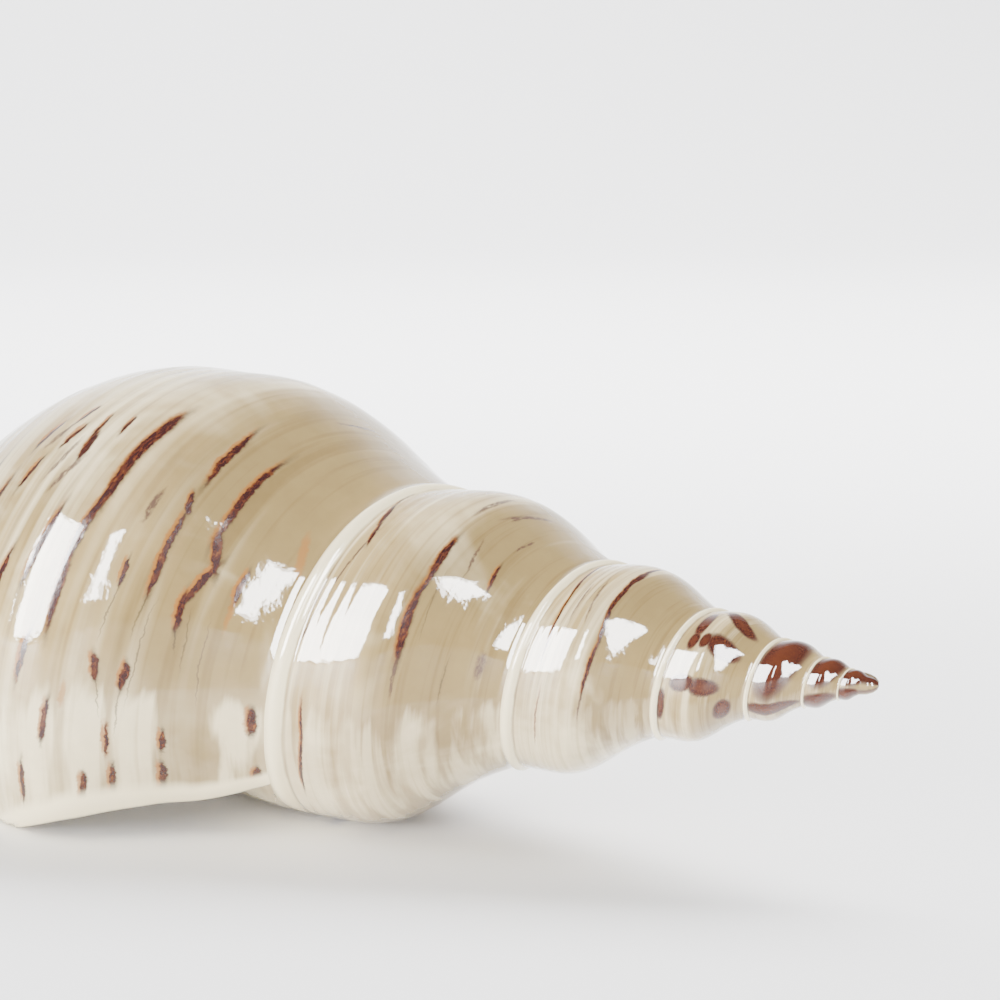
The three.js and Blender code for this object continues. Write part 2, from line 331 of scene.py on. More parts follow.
class ConchSizes(bpy.types.PropertyGroup):
    """Driving sizes of the shell."""

    growth: bpy.props.FloatProperty(
        name="Growth per Turn", description="How much larger each turn is than the one before",
        default=1.63, min=1.2,
    )
    suture_distance: bpy.props.FloatProperty(
        name="Suture Distance", description="From the closing point of the spiral to the top of the lip",
        default=0.1745, unit="LENGTH", subtype="DISTANCE",
    )
    suture_radius: bpy.props.FloatProperty(
        name="Suture Radius", description="Distance of the top of the lip from the axis",
        default=0.0515, unit="LENGTH", subtype="DISTANCE",
    )
    wall: bpy.props.FloatProperty(
        name="Wall", description="Thickness of the lip",
        default=0.0046, unit="LENGTH", subtype="DISTANCE",
    )
    cord_height: bpy.props.FloatProperty(
        name="Cord Height", description="Height of the raised cord beside each suture",
        default=0.0017, unit="LENGTH", subtype="DISTANCE",
    )
    ridge_height: bpy.props.FloatProperty(
        name="Ridge Height", description="Height of the low spiral ridges",
        default=0.00018, unit="LENGTH", subtype="DISTANCE",
    )
    lump_height: bpy.props.FloatProperty(
        name="Lump Height", description="Unevenness of the hand-finished surface",
        default=0.0005, unit="LENGTH", subtype="DISTANCE",
    )


class ConchGlaze(bpy.types.PropertyGroup):
    """Colours and gloss of the glaze."""

    cream: bpy.props.FloatVectorProperty(
        name="Cream", description="Cords, lip and runs of pale glaze",
        default=(0.86, 0.75, 0.49), subtype="COLOR",
    )
    beige: bpy.props.FloatVectorProperty(
        name="Beige", description="Ground colour",
        default=(0.43, 0.31, 0.135), subtype="COLOR",
    )
    olive: bpy.props.FloatVectorProperty(
        name="Olive", description="Ground colour where the glaze is thick",
        default=(0.26, 0.185, 0.075), subtype="COLOR",
    )
    taupe: bpy.props.FloatVectorProperty(
        name="Taupe", description="Ground colour between the pale runs",
        default=(0.27, 0.20, 0.105), subtype="COLOR",
    )
    maroon: bpy.props.FloatVectorProperty(
        name="Maroon", description="Dark parts of the streaks",
        default=(0.034, 0.008, 0.007), subtype="COLOR",
    )
    rust: bpy.props.FloatVectorProperty(
        name="Rust", description="Bright parts of the streaks",
        default=(0.090, 0.024, 0.009), subtype="COLOR",
    )
    # Amber also paints the shade along the lip's rolled edge.
    amber: bpy.props.FloatVectorProperty(
        name="Amber", description="Fringe beside the streaks",
        default=(0.32, 0.115, 0.018), subtype="COLOR",
    )
    plum: bpy.props.FloatVectorProperty(
        name="Plum", description="Faint streaks and the edges of patches",
        default=(0.075, 0.038, 0.036), subtype="COLOR",
    )
    slate: bpy.props.FloatVectorProperty(
        name="Slate", description="Dark fringe and hairlines",
        default=(0.040, 0.032, 0.026), subtype="COLOR",
    )
    roughness: bpy.props.FloatProperty(
        name="Roughness", description="Roughness of the glaze",
        default=0.06, min=0.0, max=1.0, subtype="FACTOR",
    )
    peel: bpy.props.FloatProperty(
        name="Peel", description="Strength of the glaze's fine unevenness",
        default=0.12, min=0.0, max=1.0,
    )


class ConchStage(bpy.types.PropertyGroup):
    """Floor and light."""

    floor: bpy.props.FloatVectorProperty(
        name="Floor", description="Colour of the floor and backdrop",
        default=(0.86, 0.86, 0.87), subtype="COLOR",
    )
    window_power: bpy.props.FloatProperty(
        name="Window Power", description="Power of each square metre of a window's reflection, in watts",
        default=240.0, min=0.0,
    )
    soft_power: bpy.props.FloatProperty(
        name="Soft Power", description="Power that the soft lights share out, in watts",
        default=205.0, min=0.0,
    )
    backdrop_power: bpy.props.FloatProperty(
        name="Backdrop Power", description="Power of the light on the backdrop, in watts",
        default=60.0, min=0.0,
    )
    room_light: bpy.props.FloatProperty(
        name="Room Light", description="Strength of the room's even light",
        default=0.28, min=0.0,
    )


class Wire:
    """One output of a node. Python's operators on it add Math nodes."""

    def __init__(self, sheet, socket):
        self.sheet = sheet
        self.socket = socket

    def __add__(self, other):
        return self.sheet.math("ADD", self, other)

    def __radd__(self, other):
        return self.sheet.math("ADD", other, self)

    def __sub__(self, other):
        return self.sheet.math("SUBTRACT", self, other)

    def __rsub__(self, other):
        return self.sheet.math("SUBTRACT", other, self)

    def __mul__(self, other):
        return self.sheet.math("MULTIPLY", self, other)

    def __rmul__(self, other):
        return self.sheet.math("MULTIPLY", other, self)

    def __truediv__(self, other):
        return self.sheet.math("DIVIDE", self, other)

    def __rtruediv__(self, other):
        return self.sheet.math("DIVIDE", other, self)

    def __pow__(self, other):
        return self.sheet.math("POWER", self, other)

    def __rpow__(self, other):
        return self.sheet.math("POWER", other, self)

    def __neg__(self):
        return self.sheet.math("MULTIPLY", self, -1.0)

    def __gt__(self, other):
        return self.sheet.math("GREATER_THAN", self, other)

    def __lt__(self, other):
        return self.sheet.math("LESS_THAN", self, other)


class Sheet:
    """A node tree that is filled by calls: add makes any node, and math is written on wires."""

    def __init__(self, tree):
        self.tree = tree
        self.entry = None

    def add(self, kind, settings=None, inputs=None, output=0):
        """Makes a node of a kind, sets it, fills its sockets by name or number, and returns one output."""
        node = self.tree.nodes.new(kind)
        for name, value in (settings or {}).items():
            if name == "heights":
                self.set_heights(node.mapping, value)
            else:
                setattr(node, name, value)
        for name, value in (inputs or {}).items():
            if isinstance(value, Wire):
                self.tree.links.new(value.socket, node.inputs[name])
            else:
                node.inputs[name].default_value = value
        return Wire(self, node.outputs[output]) if node.outputs else None

    @staticmethod
    def set_heights(mapping, heights):
        """Gives a curve node one point at each equal step from 0 to 1."""
        line = mapping.curves[0]
        last = len(heights) - 1
        for index, height in enumerate(heights):
            if index == 0:
                line.points[0].location = (0.0, height)
            elif index == last:
                line.points[-1].location = (1.0, height)
            else:
                line.points.new(index / last, height)
        mapping.update()

    def math(self, operation, *values, clamp=False):
        inputs = dict(enumerate(values))
        return self.add("ShaderNodeMath", {"operation": operation, "use_clamp": clamp}, inputs)

    def smaller(self, first, second):
        return self.math("MINIMUM", first, second)

    def larger(self, first, second):
        return self.math("MAXIMUM", first, second)

    def share(self, value):
        """The value held between 0 and 1."""
        return self.math("ADD", value, 0.0, clamp=True)

    def sine(self, value):
        return self.math("SINE", value)

    def cosine(self, value):
        return self.math("COSINE", value)

    def blend(self, first, second, share):
        return self.math("MULTIPLY_ADD", share, second - first, first)

    def smooth(self, value, low, high):
        """0 below low, 1 above high and an S-curve between."""
        return self.add(
            "ShaderNodeMapRange",
            {"interpolation_type": "SMOOTHSTEP"},
            {"Value": value, "From Min": low, "From Max": high},
        )

    def vector(self, x, y, z):
        return self.add("ShaderNodeCombineXYZ", None, {"X": x, "Y": y, "Z": z})

    def part(self, vector, axis):
        return self.add("ShaderNodeSeparateXYZ", None, {"Vector": vector}, output=axis)

    def vectors(self, operation, *values, output=0):
        return self.add("ShaderNodeVectorMath", {"operation": operation}, dict(enumerate(values)), output)

    def scaled(self, vector, length):
        return self.add("ShaderNodeVectorMath", {"operation": "SCALE"}, {0: vector, "Scale": length})

    def colours(self, first, second, share, kind="MIX"):
        """Colour mixed from two colours."""
        node = self.tree.nodes.new("ShaderNodeMix")
        node.data_type = "RGBA"
        node.blend_type = kind
        for index, value in ((0, share), (6, first), (7, second)):
            if isinstance(value, Wire):
                self.tree.links.new(value.socket, node.inputs[index])
            elif index == 0:
                node.inputs[index].default_value = value
            else:
                node.inputs[index].default_value = opaque(value)
        return Wire(self, node.outputs[2])

    def noise(self, vector, scale, detail=2.0, roughness=0.5, distortion=0.0, output=0):
        inputs = {"Vector": vector, "Scale": scale, "Detail": detail, "Roughness": roughness,
                  "Distortion": distortion}
        return self.add("ShaderNodeTexNoise", None, inputs, output)

    def open_group(self, inputs, outputs):
        """Declares what a node group takes and what it gives, each as name and socket kind."""
        for name, kind in inputs:
            self.tree.interface.new_socket(name, in_out="INPUT", socket_type=kind)
        for name, kind in outputs:
            self.tree.interface.new_socket(name, in_out="OUTPUT", socket_type=kind)
        self.entry = self.tree.nodes.new("NodeGroupInput")

    def taken(self, name):
        """A value that the group takes."""
        return Wire(self, self.entry.outputs[name])

    def give(self, wire):
        """Ends the group with its first output."""
        exit_node = self.tree.nodes.new("NodeGroupOutput")
        self.tree.links.new(wire.socket, exit_node.inputs[0])

    def call(self, group, inputs):
        """A node that uses another group."""
        kind = self.tree.bl_idname.replace("Tree", "Group")
        return self.add(kind, {"node_tree": group}, inputs)

    def read(self, name):
        """A number stored on the corners of the mesh."""
        return self.add("GeometryNodeInputNamedAttribute", {"data_type": "FLOAT"}, {"Name": name})

    def move(self, geometry, place):
        return self.add("GeometryNodeSetPosition", None, {"Geometry": geometry, "Position": place})


def opaque(colour):
    return (*tuple(colour)[:3], 1.0)


class Net:
    """Corners and faces of the shell's skin, before growth gives them their places."""

    FIELDS = ("column", "across", "base", "front", "cap", "inward", "back", "under")

    def __init__(self):
        self.numbers = {}
        self.values = {field: [] for field in self.FIELDS}
        self.faces = []
        self.marks = []
        self.total = int(COLUMNS * (SPIRE_TURNS + 1))

    def corner(self, key, **fields):
        if key not in self.numbers:
            self.numbers[key] = len(self.numbers)
            for field in self.FIELDS:
                self.values[field].append(float(fields.get(field, 0.0)))
        return self.numbers[key]

    def face(self, corners, marks):
        """One face with a glaze mark for each corner. Corners that coincide are dropped."""
        kept = [(c, m) for i, (c, m) in enumerate(zip(corners, marks)) if c != corners[i - 1]]
        if len({c for c, m in kept}) > 2:
            self.faces.append([c for c, m in kept])
            self.marks.extend(m for c, m in kept)

    def angle(self, column):
        return 360.0 * (column - self.total) / COLUMNS

    def outer(self, column, row):
        """A corner of the outer skin. Rows run across the whorl, over the base and along the canal."""
        if row == WHORL_ROWS and column + COLUMNS <= self.total:
            return self.outer(column + COLUMNS, 0)
        if row >= WHORL_ROWS + BASE_ROWS and column == self.total:
            return self.outer(column - COLUMNS, row)
        if row == WHORL_ROWS + BASE_ROWS + CANAL_ROWS:
            column = self.total - COLUMNS
        fields = {"column": self.angle(column), "across": whorl_share(row)}
        fields["base"] = min(max(row - WHORL_ROWS, 0) / BASE_ROWS, 1.0)
        fields["front"] = max(row - WHORL_ROWS - BASE_ROWS, 0) / CANAL_ROWS
        return self.corner(("outer", column, row), **fields)

    def mark(self, column, row):
        """Where the glaze's pattern is read: turns back from the lip, and the place across."""
        return (self.angle(column) / 360.0, whorl_share(row) + max(row - WHORL_ROWS, 0) / BASE_ROWS)

    def strip(self, columns, rows):
        """Faces of the outer skin."""
        for column in columns:
            for row in rows:
                cells = ((column, row), (column, row + 1), (column + 1, row + 1), (column + 1, row))
                self.face([self.outer(*cell) for cell in cells], [self.mark(*cell) for cell in cells])

    def tip(self):
        """Closes the spire with a small round point."""
        rim = [(column, 0) for column in range(COLUMNS + 1)]
        rim += [(0, row) for row in range(WHORL_ROWS - 1, 0, -1)]

        def raised(place, level):
            column, row = place
            if level == 0:
                return self.outer(column, row)
            if level == CAP_ROWS:
                return self.corner("tip", column=self.angle(0), cap=1.0)
            fields = {"column": self.angle(column), "across": whorl_share(row), "cap": level / CAP_ROWS}
            return self.corner(("cap", column, row, level), **fields)

        for index, place in enumerate(rim):
            following = rim[(index + 1) % len(rim)]
            for level in range(CAP_ROWS):
                cells = ((place, level), (following, level), (following, level + 1), (place, level + 1))
                self.face([raised(*cell) for cell in cells], [self.mark(*cell[0]) for cell in cells])

    def opening_loop(self):
        """Outer corners round the opening: along the lip to the canal, and back along the wall beneath."""
        end = WHORL_ROWS + BASE_ROWS
        lip = [(self.total, row, 0.0) for row in range(end + 1)]
        wall = [(self.total - COLUMNS, row, 1.0) for row in range(end, WHORL_ROWS - 1, -1)]
        return lip + wall

    def opening(self):
        """Rolls the lip inwards and lines the hollow."""
        loop = self.opening_loop()
        depth = RIM_COLUMNS + POCKET_COLUMNS

        def lining(index, level):
            column, row, under = loop[index % len(loop)]
            if level == 0:
                return self.outer(column, row)
            fields = {"column": self.angle(column), "across": whorl_share(row), "under": under}
            fields["base"] = max(row - WHORL_ROWS, 0) / BASE_ROWS
            fields["inward"] = min(level / RIM_COLUMNS, 1.0)
            fields["back"] = POCKET_ANGLE * max(level - RIM_COLUMNS, 0) / POCKET_COLUMNS
            return self.corner(("lining", index % len(loop), level), **fields)

        for index in range(len(loop)):
            for level in range(depth):
                cells = ((index, level), (index + 1, level), (index + 1, level + 1), (index, level + 1))
                marks = [self.mark(*loop[cell[0] % len(loop)][:2]) for cell in cells]
                self.face([lining(*cell) for cell in cells], marks)
        self.close_hollow(loop, lining, depth)

    def close_hollow(self, loop, lining, depth):
        """The inner end of the hollow: lip rows are joined to wall rows across the narrow gap."""
        end = WHORL_ROWS + BASE_ROWS
        wall_start = end + 1
        wall_count = len(loop) - wall_start

        def facing(index):
            share = index / end
            return wall_start + round((1.0 - share) * (wall_count - 1))

        for index in range(end):
            near, far = facing(index), facing(index + 1)
            cells = (index, index + 1, far, near)
            marks = [self.mark(*loop[cell][:2]) for cell in cells]
            self.face([lining(cell, depth) for cell in cells], marks)

    def mesh(self):
        mesh = bpy.data.meshes.new("shell_net")
        spots = list(zip(self.values["column"], self.values["across"], self.values["base"]))
        mesh.from_pydata(spots, [], self.faces)
        for field, values in self.values.items():
            mesh.attributes.new(field, "FLOAT", "POINT").data.foreach_set("value", values)
        layer = mesh.uv_layers.new(name="glaze")
        layer.uv.foreach_set("vector", [number for mark in self.marks for number in mark])
        return mesh


def whorl_share(row):
    """How far across the whorl a row lies, from the suture on the spire's side."""
    return 1.0 - (1.0 - min(row, WHORL_ROWS) / WHORL_ROWS) ** ROW_GATHER


def shell_net():
    net = Net()
    last_turn = net.total - COLUMNS
    net.strip(range(last_turn), range(WHORL_ROWS))
    net.strip(range(last_turn, net.total), range(WHORL_ROWS + BASE_ROWS + CANAL_ROWS))
    net.tip()
    net.opening()
    return net.mesh()


COIL_INPUTS = tuple(
    (name, "NodeSocketFloat")
    for name in ("Growth per Turn", "Suture Distance", "Suture Radius", "Cord Height")
)


def coil_values(sheet):
    return {name: sheet.taken(name) for name, kind in COIL_INPUTS}


def radius_group():
    """Radius of the outer skin at a distance along the axis and a growth angle."""
    sheet = Sheet(bpy.data.node_groups.new("Whorl Radius", "GeometryNodeTree"))
    place = (("Distance", "NodeSocketFloat"), ("Angle", "NodeSocketFloat"))
    sheet.open_group(place + COIL_INPUTS, (("Radius", "NodeSocketFloat"),))
    distance = sheet.taken("Distance")
    angle = sheet.taken("Angle")
    growth = sheet.taken("Growth per Turn")

    size = growth ** (angle / 360.0)
    along = distance / (sheet.taken("Suture Distance") * size)
    across = (along - 1.0) / (growth - 1.0)
    opened = sheet.smooth(angle, -360.0, -360.0 + BASE_OPENS_OVER)
    reach = sheet.blend(BASE_REACH_UNDER, BASE_REACH, sheet.smooth(angle, -390.0, -200.0))

    def base_radius(place_along):
        past = sheet.larger(place_along - WIDEST_PLACE, 0.0) / reach
        return WIDEST_RADIUS * sheet.math("SQRT", sheet.larger(1.0 - past * past, 0.0))

    tucked = growth / base_radius(growth)
    scale = sheet.taken("Suture Radius") * size
    base = scale * base_radius(along) * sheet.blend(tucked, 1.0, opened)

    swell = 1.0
    for index, height in enumerate(SWELL):
        swell = swell + height * sheet.sine(across * ((index + 1) * math.pi))
    in_cord = sheet.share((across - (1.0 - CORD_WIDTH)) / CORD_WIDTH)
    cord = sheet.taken("Cord Height") * size ** 0.5 * sheet.sine(in_cord * math.pi) * (1.0 - opened)
    whorl = scale * (1.0 + (growth - 1.0) * across) * swell + cord
    whorl = sheet.blend(whorl, base, opened * sheet.smooth(across, 0.5, 0.9))
    radius = sheet.blend(base, whorl, across < 1.0)

    taper = sheet.share((distance - TAPER_START) / (BASE_END - TAPER_START))
    radius = radius * (1.0 - taper ** TAPER_SHAPE) ** TAPER_FADE
    neck = sheet.blend(CANAL_ROOT_RADIUS, CANAL_RADIUS, sheet.smooth(distance, CANAL_ROOT, CANAL_END))
    canal = neck * sheet.smooth(distance, CANAL_BLEND_START, CANAL_BLEND_END)
    sheet.give((radius ** 3.0 + canal ** 3.0) ** (1.0 / 3.0))
    return sheet.tree


def place_on_coil(sheet, distance, radius, angle):
    """Point at a distance along the axis, a radius and a growth angle."""
    turn = (LIP_ANGLE - angle) * (math.pi / 180.0)
    past = sheet.larger(SPIRE_LIFT_START - distance, 0.0)
    lift = SPIRE_LIFT * past * past
    x = CENTRE_X - distance
    y = CENTRE_Y - radius * sheet.cosine(turn)
    z = AXIS_HEIGHT + radius * sheet.sine(turn) + lift
    return sheet.vector(x, y, z)


class Growth:
    """Places the net's corners: the outer skin, the lining of the hollow, and the lip that joins them."""

    def __init__(self, sheet):
        self.sheet = sheet
        self.group = radius_group()
        self.coil = coil_values(sheet)
        self.growth = sheet.taken("Growth per Turn")
        self.start = sheet.taken("Suture Distance")
        self.wall = sheet.taken("Wall")
        self.net = {field: sheet.read(field) for field in Net.FIELDS}
        self.reach = self.start * (1.0 + (self.growth - 1.0) * self.net["across"])
        self.lip_place = sheet.blend(self.reach, BASE_END, self.net["base"])

    def radius_at(self, distance, angle):
        return self.sheet.call(self.group, {"Distance": distance, "Angle": angle, **self.coil})

    def lip_sweep(self, distance):
        """Degrees that the lip's edge stands ahead of a straight edge."""
        share = self.sheet.share((distance - self.start) / (BASE_END - self.start))
        heights = [(angle - SWEEP_LOW) / (SWEEP_HIGH - SWEEP_LOW) for angle in LIP_SWEEP]
        height = self.sheet.add("ShaderNodeFloatCurve", {"heights": heights}, {"Value": share})
        return SWEEP_LOW + (SWEEP_HIGH - SWEEP_LOW) * height

    def bead(self, distance):
        """Height of the bead round the lip."""
        sheet = self.sheet
        share = sheet.share((self.net["column"] + BEAD_ANGLE) / BEAD_ANGLE)
        arch = sheet.sine((BEAD_START + BEAD_SPAN * share) * math.pi)
        bead = BEAD_HEIGHT * arch * sheet.smooth(share, 0.0, 0.3)
        bead = bead * (1.0 - sheet.smooth(distance, BASE_END - BEAD_FADE, BASE_END))
        return bead * sheet.smooth(self.net["across"], 0.0, 0.15)

    def skin(self):
        """Distance, radius and growth angle of each corner of the outer skin."""
        sheet = self.sheet
        column, base = self.net["column"], self.net["base"]
        in_last_turn = column > -360.01
        lip_shift = self.lip_sweep(self.lip_place) * sheet.smooth(column, -SWEEP_FADE, 0.0)
        under_shift = self.lip_sweep(sheet.blend(self.start, BASE_END, base))
        under_fade = 1.0 - sheet.smooth(column, -360.0, SWEEP_FADE - 360.0)
        rolled = sheet.smooth(column, -ROLL_FADE, 0.0) * (1.0 - base) * in_last_turn
        lip_radius = sheet.taken("Suture Radius") * LIP_RADIUS_SHARE
        edge_back = rolled * (self.wall / 2.0) / (2.0 * math.pi * lip_radius) * 360.0
        angle = column + lip_shift + under_shift * under_fade * in_last_turn - edge_back
        distance = sheet.blend(self.reach * self.growth ** (angle / 360.0), BASE_END, base)
        front = sheet.sine(self.net["front"] * (math.pi / 2.0))
        distance = sheet.blend(distance, CANAL_END, front)
        radius = self.radius_at(distance, angle) + self.bead(distance)
        radius = radius * sheet.math("SQRT", sheet.larger(1.0 - front ** CANAL_ROUNDING, 0.0))
        cap = self.net["cap"] * (math.pi / 2.0)
        return sheet.blend(distance, TIP_DISTANCE, sheet.sine(cap)), radius * sheet.cosine(cap), angle

    def lining(self):
        """Distance, radius and growth angle in the hollow. Its sections shrink towards the inner end."""
        sheet = self.sheet
        under, back = self.net["under"], self.net["back"]
        closing = sheet.smooth(back, POCKET_ANGLE - POCKET_CLOSES_OVER, POCKET_ANGLE)
        fill = sheet.math("SQRT", 1.0 - closing * closing * POCKET_CLOSES_BY)
        pocket_top = 1.0 + (self.growth - 1.0) * POCKET_TOP
        hollow_start = self.start * self.growth ** (-back / 360.0) * pocket_top
        lip_row = (self.lip_place - self.start) / (BASE_END - self.start)
        row_share = sheet.blend(lip_row, self.net["base"], under)
        middle = (hollow_start + POCKET_END) / 2.0
        distance = sheet.blend(hollow_start, POCKET_END, row_share)
        distance = sheet.blend(middle, distance, sheet.blend(1.0, fill, 0.6))
        edge = self.lip_sweep(sheet.larger(distance, self.start))
        angle = edge * (1.0 - sheet.smooth(back, 0.0, SWEEP_FADE)) - back
        wall_angle = sheet.smaller(angle, edge)
        outer_here = self.radius_at(distance, wall_angle)
        slope = (self.radius_at(distance + SLOPE_STEP, wall_angle) - outer_here) / SLOPE_STEP
        steepness = sheet.smaller(sheet.math("SQRT", 1.0 + slope * slope), STEEPEST)
        high = outer_here - self.wall * self.growth ** (wall_angle / 720.0) * steepness
        low = self.radius_at(distance, angle - 360.0) + CALLUS
        half = sheet.larger((high - low) / 2.0, LEAST_GAP) * fill
        centre = sheet.larger((high + low) / 2.0, low + LEAST_GAP)
        return distance, sheet.blend(centre + half, centre - half, under), angle

    def place(self):
        """The lip's edge rolls over from the outer skin to the lining."""
        sheet = self.sheet
        distance, radius, angle = self.skin()
        outer_place = place_on_coil(sheet, distance, groove_radius(sheet, distance, radius, angle), angle)
        inner_place = place_on_coil(sheet, *self.lining())
        roll = self.net["inward"] * math.pi
        share = (1.0 - sheet.cosine(roll)) / 2.0
        forward = sheet.sine(roll) * (1.0 - self.net["under"]) * self.wall / 2.0
        ahead = place_on_coil(sheet, distance, radius, angle + 1.0)
        heading = sheet.vectors("NORMALIZE", sheet.vectors("SUBTRACT", ahead, outer_place))
        between = sheet.add(
            "ShaderNodeMix",
            {"data_type": "VECTOR", "clamp_factor": True},
            {0: share, 4: outer_place, 5: inner_place},
            output=1,
        )
        return sheet.vectors("ADD", between, sheet.scaled(heading, forward))


def growth_tree():
    """Turns the net into the shell: each corner is placed by its growth angle and its share across."""
    sheet = Sheet(bpy.data.node_groups.new("Conch Growth", "GeometryNodeTree"))
    net = (("Net", "NodeSocketGeometry"),)
    sizes = tuple((name, "NodeSocketFloat") for name in ("Wall", "Ridge Height", "Lump Height", "Seed"))
    material = (("Material", "NodeSocketMaterial"),)
    sheet.open_group(net + COIL_INPUTS + sizes + material, (("Shell", "NodeSocketGeometry"),))
    growth = Growth(sheet)
    grown = sheet.move(sheet.taken("Net"), growth.place())
    grown = add_relief(sheet, grown, growth.growth ** (growth.net["column"] / 360.0))
    grown = stand_flat(sheet, grown)
    grown = sheet.add("GeometryNodeSetShadeSmooth", None, {"Geometry": grown, "Shade Smooth": True})
    grown = sheet.add("GeometryNodeRealizeInstances", None, {"Geometry": grown})
    glazed = {"Geometry": grown, "Material": sheet.taken("Material")}
    sheet.give(sheet.add("GeometryNodeSetMaterial", None, glazed))
    return sheet.tree


def groove_radius(sheet, distance, radius, angle):
    """Draws the skin in along the underside of the canal, where the open groove runs."""
    turn = LIP_ANGLE - angle - GROOVE_ANGLE
    turn = sheet.math("WRAP", turn, 180.0, -180.0)
    valley = sheet.math("EXPONENT", -((turn / GROOVE_WIDTH) ** 2.0))
    depth = GROOVE_DEPTH * sheet.smooth(distance, GROOVE_START, GROOVE_START + GROOVE_DEEPENS_OVER)
    return sheet.larger(radius - depth * valley, radius * GROOVE_FLOOR)


def ridge_wander(sheet, turn, across):
    """How far the spiral ridges wander off their line. Relief and glaze both read it."""
    return sheet.noise(sheet.vector(turn * 9.0, across * 2.0, 3.0), 1.0, 1.0) - 0.5


def ridge_wave(sheet, across, wander):
    """1 on the crests of the spiral ridges and -1 in the grooves between them."""
    return sheet.sine((across * RIDGE_COUNT + wander * 0.5) * (2.0 * math.pi))


def near_cord(sheet, across, turn):
    """Where the ridges are: on the cord's side of the larger whorls."""
    share = sheet.smooth(across, *RIDGES_RISE) * (1.0 - sheet.smooth(across, *RIDGES_END))
    return share * sheet.smooth(turn, *RIDGES_TURN)


def add_relief(sheet, geometry, size):
    """Low spiral ridges near each cord, shallow ribs over the base, and the lumps of a cast body."""
    across, base, column = sheet.read("across"), sheet.read("base"), sheet.read("column")
    outside = 1.0 - sheet.read("inward")
    spot = sheet.add("GeometryNodeInputPosition")
    seed = sheet.taken("Seed")
    shifted = sheet.vectors("ADD", spot, sheet.vector(seed, seed, seed))
    lumps = sheet.noise(shifted, LUMP_SCALE, 2.0, 0.45) - 0.5
    ripples = sheet.noise(shifted, RIPPLE_SCALE, 1.0, 0.4) - 0.5
    lumps = (lumps * 1.6 + ripples * 0.5) * sheet.taken("Lump Height") * size ** 0.6

    on_base = sheet.smooth(base, 0.0, 0.08) * (1.0 - sheet.smooth(base, 0.75, 0.95))
    wander = ridge_wander(sheet, column / 360.0, across + base)
    whorl_ridges = ridge_wave(sheet, across, wander) * near_cord(sheet, across, column / 360.0)
    base_ridges = sheet.sine((base * RIB_COUNT + wander * 0.6) * (2.0 * math.pi)) * on_base
    rise = 0.45 + wander
    ridges = (whorl_ridges + base_ridges) * rise * sheet.taken("Ridge Height") * size ** 0.5
    from_ditch = (across - DITCH_PLACE) / DITCH_WIDTH
    ditch = sheet.math("EXPONENT", -(from_ditch * from_ditch)) * DITCH_DEPTH * size ** 0.5
    ditch = ditch * (1.0 - sheet.smooth(base, 0.0, 0.01)) * (1.0 - (column > DITCH_END))

    height = (lumps + ridges - ditch) * outside * (1.0 - sheet.read("cap"))
    normal = sheet.add("GeometryNodeInputNormal")
    offset = sheet.scaled(normal, height)
    return sheet.add("GeometryNodeSetPosition", None, {"Geometry": geometry, "Offset": offset})


def stand_flat(sheet, geometry):
    """Flattens what reaches below the resting plane."""
    spot = sheet.add("GeometryNodeInputPosition")
    x, y, z = (sheet.part(spot, axis) for axis in range(3))
    return sheet.move(geometry, sheet.vector(x, y, sheet.larger(z, 0.0)))


def set_inputs(modifier, values):
    """Sets a modifier's inputs by their names in its tree."""
    for item in modifier.node_group.interface.items_tree:
        if item.item_type == "SOCKET" and item.in_out == "INPUT" and item.name in values:
            modifier[item.identifier] = values[item.name]


def grown_mesh(net, sizes, material):
    """Runs the growth tree on the net and returns a plain mesh."""
    grower = bpy.data.objects.new("shell_net", net)
    bpy.context.scene.collection.objects.link(grower)
    modifier = grower.modifiers.new("Growth", "NODES")
    modifier.node_group = growth_tree()
    set_inputs(modifier, {
        "Growth per Turn": sizes.growth,
        "Suture Distance": sizes.suture_distance,
        "Suture Radius": sizes.suture_radius,
        "Cord Height": sizes.cord_height,
        "Wall": sizes.wall,
        "Ridge Height": sizes.ridge_height,
        "Lump Height": sizes.lump_height,
        "Seed": SEED,
        "Material": material,
    })
    bpy.context.view_layer.update()
    graph = bpy.context.evaluated_depsgraph_get()
    mesh = bpy.data.meshes.new_from_object(
        grower.evaluated_get(graph), preserve_all_data_layers=True, depsgraph=graph
    )
    grower.modifiers.remove(modifier)
    bpy.data.objects.remove(grower)
    bpy.data.meshes.remove(net)
    return mesh


def pattern_place(angle, across):
    return Vector((angle / 360.0 * TURN_WIDTHS, across))


def streak_group(name, ellipses):
    """Distance to the nearest of some ellipses: 0 in its middle and 1 on its edge.

    The place holds 1 as its third number, so that one dot product also adds a constant. The renderer keeps
    the results of all nodes that can run, and has little room for them. So the ellipses are taken in batches,
    and each batch waits for the one before: its place holds a trace of the distance so far.
    """
    sheet = Sheet(bpy.data.node_groups.new(name, "ShaderNodeTree"))
    sheet.open_group((("Place", "NodeSocketVector"),), (("Distance", "NodeSocketFloat"),))
    place = sheet.taken("Place")
    nearest = 99.0
    for index, (middle, half_length, half_width, lean) in enumerate(ellipses):
        if index and index % BATCH == 0:
            place = sheet.vectors("MULTIPLY_ADD", nearest, (TRACE, TRACE, 0.0), sheet.taken("Place"))
        along = Vector((math.cos(lean), math.sin(lean))) / half_length
        aside = Vector((-math.sin(lean), math.cos(lean))) / half_width
        x = sheet.vectors("DOT_PRODUCT", place, (*along, -along.dot(middle)), output=1)
        y = sheet.vectors("DOT_PRODUCT", place, (*aside, -aside.dot(middle)), output=1)
        nearest = sheet.smaller(nearest, x * x + y * y)
    sheet.give(sheet.math("SQRT", nearest))
    return sheet.tree


